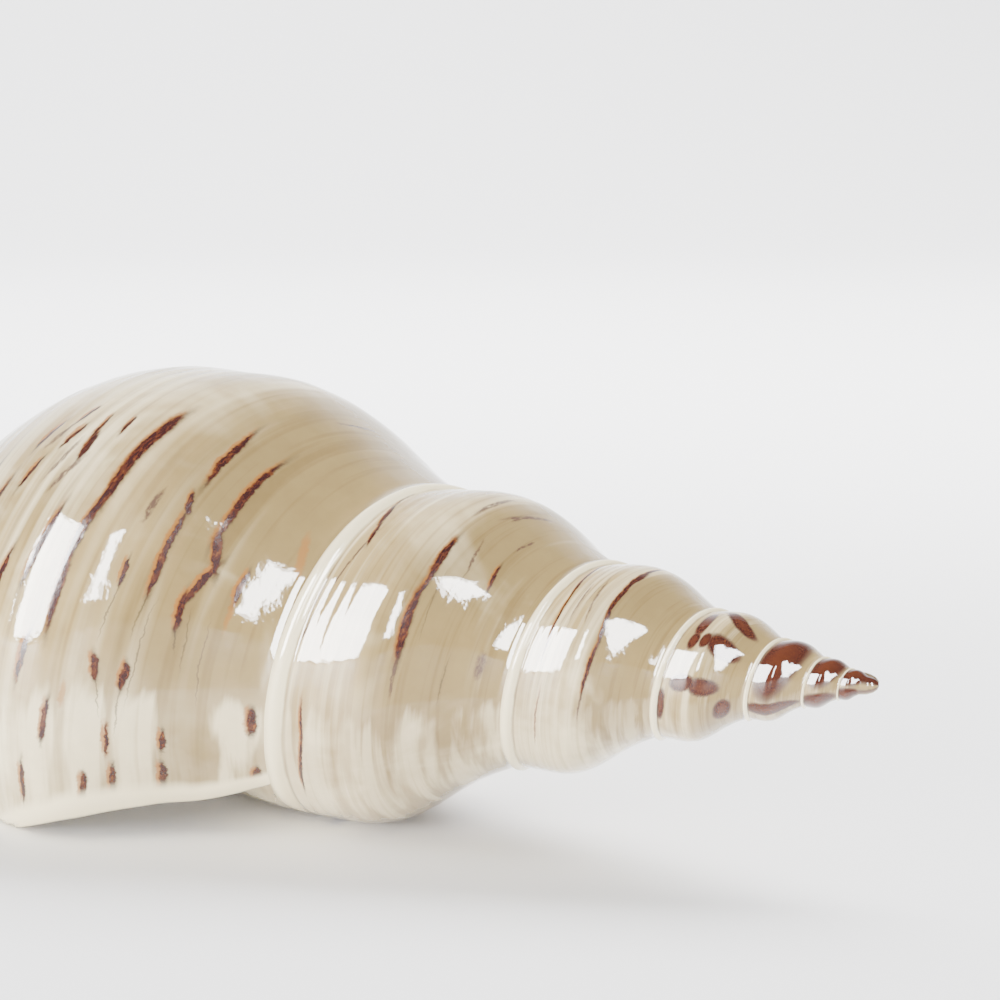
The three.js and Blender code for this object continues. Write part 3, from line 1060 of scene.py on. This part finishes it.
def streak_ellipses(streaks):
    for start, end, half_width in streaks:
        first, last = pattern_place(*start), pattern_place(*end)
        along = last - first
        half_length = along.length / 2.0 + half_width
        yield (first + last) / 2.0, half_length, half_width, math.atan2(along.y, along.x)


def patch_ellipses(patches):
    for middle, half_angle, half_across, lean in patches:
        half_length = half_angle / 360.0 * TURN_WIDTHS * PATCH_SWELL
        yield pattern_place(*middle), half_length, half_across * PATCH_SWELL, math.radians(lean)


def within(sheet, distance, soft, edge=1.0):
    """1 well inside a streak and 0 outside."""
    return 1.0 - sheet.smooth(distance, edge - soft, edge + soft)


def glaze_ground(sheet, colours, spot, turn, across):
    """Olive and beige glaze with pale bands along the coil, and pale runs low on each whorl."""
    along = turn * TURN_WIDTHS
    round_share = sheet.math("FRACT", turn)
    low = sheet.share(sheet.smooth(round_share, *LOW_FROM) + 1.0 - sheet.smooth(round_share, *LOW_TO))
    cloud = sheet.noise(spot, 22.0, 4.0, 0.55)
    grain = sheet.noise(spot, 120.0, 3.0, 0.6)
    bands = sheet.noise(sheet.vector(along * 0.55, across * 7.0, 1.7), 1.0, 3.0, 0.55)
    runs = sheet.noise(sheet.vector(along * 1.7, across * 15.0, 4.2), 1.0, 3.0, 0.5, 0.5)
    threads = sheet.noise(sheet.vector(along * 1.0, across * 32.0, 7.5), 1.0, 2.0, 0.6, 0.3)

    cord_side = sheet.smooth(across, *CORD_SIDE)
    pale = sheet.share(cloud * 0.7 + bands * 0.6 - 0.42 + cord_side * 0.35)
    colour = sheet.colours(colours.olive, colours.beige, sheet.smooth(pale, 0.22, 0.72))
    colour = sheet.colours(colour, colours.cream, sheet.smooth(bands + cord_side * 0.12, 0.56, 0.78) * 0.55)

    wave = ridge_wave(sheet, across, ridge_wander(sheet, turn, across))
    ridges = near_cord(sheet, across, turn)
    crest = sheet.smooth(wave, 0.0, 0.9) * ridges * sheet.smooth(bands + threads * 0.3, 0.50, 0.75)
    colour = sheet.colours(colour, colours.cream, crest * 0.50)
    valley = sheet.smooth(-wave, 0.55, 1.0) * ridges * sheet.smooth(bands, 0.40, 0.60)
    colour = sheet.colours(colour, colours.taupe, valley * 0.70)

    colour = sheet.colours(colour, colours.taupe, low * sheet.smooth(cloud, 0.3, 0.6) * 0.6)
    last_whorl = sheet.smooth(turn, *SECOND_WHORL_TO)
    veil = low * last_whorl * sheet.smooth(cloud + bands * 0.4, 0.48, 0.78)
    colour = sheet.colours(colour, colours.cream, veil * 0.25)
    run_share = sheet.smooth(runs + low * 0.5 + (cloud - 0.5) * 0.35, 0.90, 1.10)
    run_depth = 0.10 + sheet.smooth(turn, *THIRD_WHORL_TO) * 0.32 + last_whorl * 0.26
    colour = sheet.colours(colour, colours.cream, run_share * run_depth)
    white = sheet.smooth(sheet.noise(spot, 17.0, 4.0, 0.6, 0.9) + cord_side * 0.10, 0.54, 0.76)
    colour = sheet.colours(colour, colours.cream, white * 0.55)
    shade = sheet.smooth(grain, 0.25, 0.75) * 0.18 + sheet.smooth(threads, 0.48, 0.68) * 0.38
    return sheet.colours(colour, (0.56, 0.50, 0.42), shade, "MULTIPLY")


def ragged_place(sheet, turn, across):
    """Place in the pattern, bent by two sizes of noise, so that edges come out ragged."""
    place = sheet.vector(turn * TURN_WIDTHS, across, 1.0)
    bend = sheet.noise(place, 7.0, 2.0, 0.5, output=1)
    rag = sheet.noise(place, 55.0, 2.0, 0.6, output=1)
    bend = sheet.vectors("MULTIPLY_ADD", bend, (0.030, 0.022, 0.0), (-0.015, -0.011, 0.0))
    rag = sheet.vectors("MULTIPLY_ADD", rag, (0.030, 0.014, 0.0), (-0.015, -0.007, 0.0))
    return sheet.vectors("ADD", sheet.vectors("ADD", place, bend), rag)


def far_side_marks(sheet, place, turn, across):
    """Distances to streaks and patches made by noise. They show on the far side and on the base."""
    round_share = sheet.math("FRACT", turn)
    far_side = sheet.smooth(round_share, *FAR_SIDE_FROM) * (1.0 - sheet.smooth(round_share, *FAR_SIDE_TO))
    far_side = sheet.larger(far_side, sheet.smooth(across, *BASE_FROM) * 0.9)
    spire = 1.0 - sheet.smooth(turn, *SPIRE_TO)
    stretched = sheet.noise(sheet.vectors("MULTIPLY", place, (1.0, 12.0, 1.0)), 1.0, 2.0, 0.5)
    rounder = sheet.noise(sheet.vectors("MULTIPLY", place, (1.0, 1.9, 1.0)), 1.2, 2.0, 0.5)
    to_streak = 1.0 - (stretched - 0.615) * 11.0 + (1.0 - far_side) * 6.0 + spire * 6.0
    to_patch = 1.0 - (rounder - 0.53) * 9.0 + (1.0 - far_side) * 6.0 + (1.0 - spire) * 6.0
    return to_streak, to_patch


def with_streaks(sheet, colours, ground, place, fleck, far_marks):
    """The ground with its streaks and patches. Also gives the distance to the nearest red streak."""
    rust_group = streak_group("Rust Streaks", streak_ellipses(RUST_STREAKS))
    plum_group = streak_group("Plum Streaks", streak_ellipses(PLUM_STREAKS))
    amber_group = streak_group("Amber Streaks", streak_ellipses(AMBER_STREAKS))
    hair_group = streak_group("Hair Streaks", streak_ellipses(HAIR_STREAKS))
    patch_group = streak_group("Patches", patch_ellipses(PATCHES))
    to_streak, to_patch = far_marks
    towards_cord = sheet.vectors("ADD", place, EDGE_SHIFT)
    rust = sheet.smaller(sheet.call(rust_group, {"Place": place}), to_streak)
    lit_edge = sheet.call(rust_group, {"Place": towards_cord})
    plum = sheet.call(plum_group, {"Place": place})
    amber = sheet.call(amber_group, {"Place": place})
    hair = sheet.call(hair_group, {"Place": place})
    patch = sheet.smaller(sheet.call(patch_group, {"Place": place}), to_patch)

    iron = sheet.colours(colours.maroon, colours.rust, sheet.smooth(fleck, 0.42, 0.66))
    iron = sheet.colours(iron, colours.amber, sheet.smooth(fleck, 0.58, 0.78) * 0.70)
    warm = sheet.colours(iron, colours.rust, within(sheet, patch, 0.35, 0.45) * 0.7)
    colour = sheet.colours(ground, colours.slate, within(sheet, rust, 0.40, 1.25) * 0.6)
    colour = sheet.colours(colour, colours.amber, within(sheet, lit_edge, 0.35, 0.95) * 0.75)
    colour = sheet.colours(colour, colours.amber, within(sheet, amber, 0.45) * 0.50)
    colour = sheet.colours(colour, colours.slate, within(sheet, hair, 0.5) * 0.55)
    faint = within(sheet, plum, 0.35) * sheet.smooth(fleck, 0.2, 0.6)
    colour = sheet.colours(colour, colours.plum, faint * 0.85)
    colour = sheet.colours(colour, iron, within(sheet, rust, 0.22))
    colour = sheet.colours(colour, colours.plum, within(sheet, patch, 0.12, 1.0) * 0.75)
    return sheet.colours(colour, warm, within(sheet, patch, 0.14, 0.86)), rust


def with_trim(sheet, colours, colour, place, turn, across, inward):
    """The cord, the stain in the groove beside it, the lip's rim and the lining over the rest."""
    wobble = (sheet.noise(place, 9.0, 1.0) - 0.5) * 0.012
    earlier = 1.0 - sheet.smooth(turn, *LAST_TURN)
    cord = sheet.smooth(across + wobble, CORD_EDGE - 0.006, CORD_EDGE + 0.006) * (across < 1.0) * earlier
    from_groove = (across - GROOVE_STAIN) / GROOVE_STAIN_WIDTH
    groove = sheet.math("EXPONENT", -(from_groove * from_groove)) * earlier
    groove = groove * sheet.smooth(sheet.noise(place, 2.2, 2.0), 0.30, 0.60)
    colour = sheet.colours(colour, colours.maroon, groove * 0.60)
    colour = sheet.colours(colour, colours.cream, cord)
    rim = sheet.smooth(turn + wobble * 0.8, -RIM_SHARE - 0.006, -RIM_SHARE + 0.004)
    rim = sheet.larger(rim, sheet.smooth(inward, 0.0, 0.1))
    colour = sheet.colours(colour, colours.cream, rim)
    # Painted shade: an amber band along the lip's rolled edge stands for the shadow under the rim.
    painted_rim_shade = sheet.smooth(inward, 0.20, 0.35) * (1.0 - sheet.smooth(inward, 0.45, 0.60))
    return sheet.colours(colour, colours.amber, painted_rim_shade * 0.5)


def glaze_material(colours):
    """Reactive glaze: an olive ground, pale cords and runs, and streaks of iron red."""
    material = bpy.data.materials.new("reactive_glaze")
    material.use_nodes = True
    material.node_tree.nodes.clear()
    sheet = Sheet(material.node_tree)
    spot = sheet.add("ShaderNodeTexCoord", output=3)
    mark = sheet.add("ShaderNodeUVMap", {"uv_map": "glaze"})
    inward = sheet.add("ShaderNodeAttribute", {"attribute_name": "inward"}, output=2)
    turn = sheet.part(mark, 0)
    across = sheet.part(mark, 1)
    ground = glaze_ground(sheet, colours, spot, turn, across)
    place = ragged_place(sheet, turn, across)
    fleck = sheet.noise(sheet.vectors("MULTIPLY", place, (1.0, 2.2, 1.0)), 38.0, 3.0, 0.65)
    far_marks = far_side_marks(sheet, place, turn, across)
    colour, rust = with_streaks(sheet, colours, ground, place, fleck, far_marks)
    colour = with_trim(sheet, colours, colour, place, turn, across, inward)

    peel = sheet.noise(spot, 260.0, 2.0, 0.5) + sheet.noise(spot, 70.0, 2.0, 0.5) * 2.0
    normal = sheet.add("ShaderNodeBump", None, {"Strength": colours.peel, "Distance": 0.0008, "Height": peel})
    shader = sheet.add("ShaderNodeBsdfPrincipled", None, {
        "Base Color": colour,
        "Roughness": colours.roughness + within(sheet, rust, 0.3) * 0.10,
        "IOR": 1.45,
        "Coat Weight": 0.6,
        "Coat Roughness": 0.02,
        "Coat IOR": 1.45,
        "Normal": normal,
    })
    sheet.add("ShaderNodeOutputMaterial", None, {"Surface": shader})
    return material


class CONCH_OT_shell(bpy.types.Operator):
    """Grow the shell and glaze it"""

    bl_idname = "conch.shell"
    bl_label = "Shell"

    def execute(self, context):
        material = glaze_material(context.scene.conch_glaze)
        mesh = grown_mesh(shell_net(), context.scene.conch_sizes, material)
        mesh.name = "conch_shell"
        piece = bpy.data.objects.new("conch_shell", mesh)
        context.scene.collection.objects.link(piece)
        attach(piece, "root")
        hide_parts("shell")
        return {"FINISHED"}


def view_axes():
    """The camera's right, up and backward directions."""
    azimuth, elevation = math.radians(VIEW_AZIMUTH), math.radians(VIEW_ELEVATION)
    right = Vector((math.cos(azimuth), math.sin(azimuth), 0.0))
    backward = Vector((
        math.sin(azimuth) * math.cos(elevation),
        -math.cos(azimuth) * math.cos(elevation),
        math.sin(elevation),
    ))
    return right, backward.cross(right), backward


def make_camera():
    right, up, backward = view_axes()
    camera = bpy.data.objects.new("camera", bpy.data.cameras.new("camera"))
    camera.data.sensor_width = SENSOR
    camera.data.lens = SENSOR * PIXELS_PER_METRE * CAMERA_DISTANCE / PICTURE
    side = (TIP_PIXEL[0] - PICTURE / 2) / PIXELS_PER_METRE
    rise = (PICTURE / 2 - TIP_PIXEL[1]) / PIXELS_PER_METRE
    place = TIP_PLACE - side * right - rise * up + CAMERA_DISTANCE * backward
    camera.matrix_world = Matrix.Translation(place) @ Matrix((right, up, backward)).transposed().to_4x4()
    bpy.context.scene.collection.objects.link(camera)
    bpy.context.scene.camera = camera


def make_floor(colour):
    """A floor that sweeps up into a backdrop, far behind the shell."""
    profile = [(-FLOOR_FRONT, 0.0), (FLOOR_BACK, 0.0)]
    for angle in range(6, 91, 6):
        along = FLOOR_BACK + BEND_RADIUS * math.sin(math.radians(angle))
        profile.append((along, BEND_RADIUS * (1.0 - math.cos(math.radians(angle)))))
    profile.append((FLOOR_BACK + BEND_RADIUS, BACKDROP_TOP))
    right, up, backward = view_axes()
    away = Vector((-backward.x, -backward.y, 0.0)).normalized()
    corners = []
    for distance, height in profile:
        for side in (-FLOOR_HALF, FLOOR_HALF):
            corners.append(away * distance + right * side + Vector((0.0, 0.0, height - FLOOR_GAP)))
    faces = [(2 * i, 2 * i + 1, 2 * i + 3, 2 * i + 2) for i in range(len(profile) - 1)]
    mesh = bpy.data.meshes.new("floor")
    mesh.from_pydata(corners, [], faces)
    mesh.shade_smooth()
    floor = bpy.data.objects.new("floor", mesh)
    material = bpy.data.materials.new("studio_paper")
    material.use_nodes = True
    shader = material.node_tree.nodes["Principled BSDF"]
    shader.inputs["Base Color"].default_value = opaque(colour)
    shader.inputs["Roughness"].default_value = 0.85
    mesh.materials.append(material)
    bpy.context.scene.collection.objects.link(floor)


def make_flag():
    """A dark card on the floor in front that only reflections see. It keeps the shell's upper half deep."""
    right, up, backward = view_axes()
    towards = Vector((backward.x, backward.y, 0.0)).normalized()
    corners = []
    for distance, sides in ((FLAG_START, (-1.0, 1.0)), (FLOOR_FRONT, (1.0, -1.0))):
        for side in sides:
            corners.append(towards * distance + right * side * FLAG_HALF + Vector((0.0, 0.0, FLAG_HEIGHT)))
    mesh = bpy.data.meshes.new("flag")
    mesh.from_pydata(corners, [], [(0, 1, 2, 3)])
    material = bpy.data.materials.new("black_card")
    material.use_nodes = True
    shader = material.node_tree.nodes["Principled BSDF"]
    shader.inputs["Base Color"].default_value = opaque(FLAG_COLOUR)
    mesh.materials.append(material)
    flag = bpy.data.objects.new("flag", mesh)
    flag.visible_camera = False
    flag.visible_diffuse = False
    flag.visible_shadow = False
    bpy.context.scene.collection.objects.link(flag)


def make_softbox(name, place, power, target=SHELL_MIDDLE):
    """An area light near the shell that faces a target."""
    azimuth, elevation, distance, size = place
    light = bpy.data.lights.new(name, "AREA")
    light.shape = "RECTANGLE"
    light.size, light.size_y = size
    light.energy = power
    turn, rise = math.radians(azimuth), math.radians(elevation)
    backward = Vector((math.sin(turn) * math.cos(rise), -math.cos(turn) * math.cos(rise), math.sin(rise)))
    box = bpy.data.objects.new(name, light)
    box.location = backward * distance
    box.rotation_euler = (box.location - target).to_track_quat("Z", "Y").to_euler()
    bpy.context.scene.collection.objects.link(box)
    return box


class CONCH_OT_stage(bpy.types.Operator):
    """Set up the floor, the softboxes and the camera"""

    bl_idname = "conch.stage"
    bl_label = "Stage"

    def execute(self, context):
        stage = context.scene.conch_stage
        make_floor(stage.floor)
        make_flag()
        for name, place in WINDOWS.items():
            width, height = place[3]
            window = make_softbox(name, place, stage.window_power * width * height)
            window.visible_diffuse = False
        for name, place in SOFTS.items():
            make_softbox(name, place, stage.soft_power * POWERS[name]).visible_glossy = False
        backdrop = make_softbox("backdrop", BACKDROP_LIGHT, stage.backdrop_power, BACKDROP_MIDDLE)
        backdrop.visible_glossy = False
        world = bpy.data.worlds.new("room")
        world.use_nodes = True
        background = world.node_tree.nodes["Background"]
        background.inputs["Color"].default_value = (0.95, 0.97, 1.0, 1.0)
        background.inputs["Strength"].default_value = stage.room_light
        context.scene.world = world
        make_camera()
        return {"FINISHED"}


class CONCH_PT_panel(bpy.types.Panel):
    """Sizes, glaze and stage of the conch shell"""

    bl_idname = "CONCH_PT_panel"
    bl_label = "Conch Shell"
    bl_space_type = "VIEW_3D"
    bl_region_type = "UI"
    bl_category = "Conch Shell"

    def draw(self, context):
        groups = (
            (context.scene.conch_sizes, CONCH_OT_shell),
            (context.scene.conch_glaze, None),
            (context.scene.conch_stage, CONCH_OT_stage),
        )
        for group, operator in groups:
            box = self.layout.box()
            for name in group.__annotations__:
                box.prop(group, name)
            if operator:
                box.operator(operator.bl_idname)


GROUPS = {"conch_sizes": ConchSizes, "conch_glaze": ConchGlaze, "conch_stage": ConchStage}
CLASSES = (*GROUPS.values(), CONCH_OT_shell, CONCH_OT_stage, CONCH_PT_panel)


def register():
    for item in CLASSES:
        bpy.utils.register_class(item)
    for name, group in GROUPS.items():
        setattr(bpy.types.Scene, name, bpy.props.PointerProperty(type=group))


def unregister():
    for name in GROUPS:
        delattr(bpy.types.Scene, name)
    for item in reversed(CLASSES):
        bpy.utils.unregister_class(item)


def main():
    register()
    bpy.ops.conch.shell()
    bpy.ops.conch.stage()


if __name__ == "__main__":
    main()
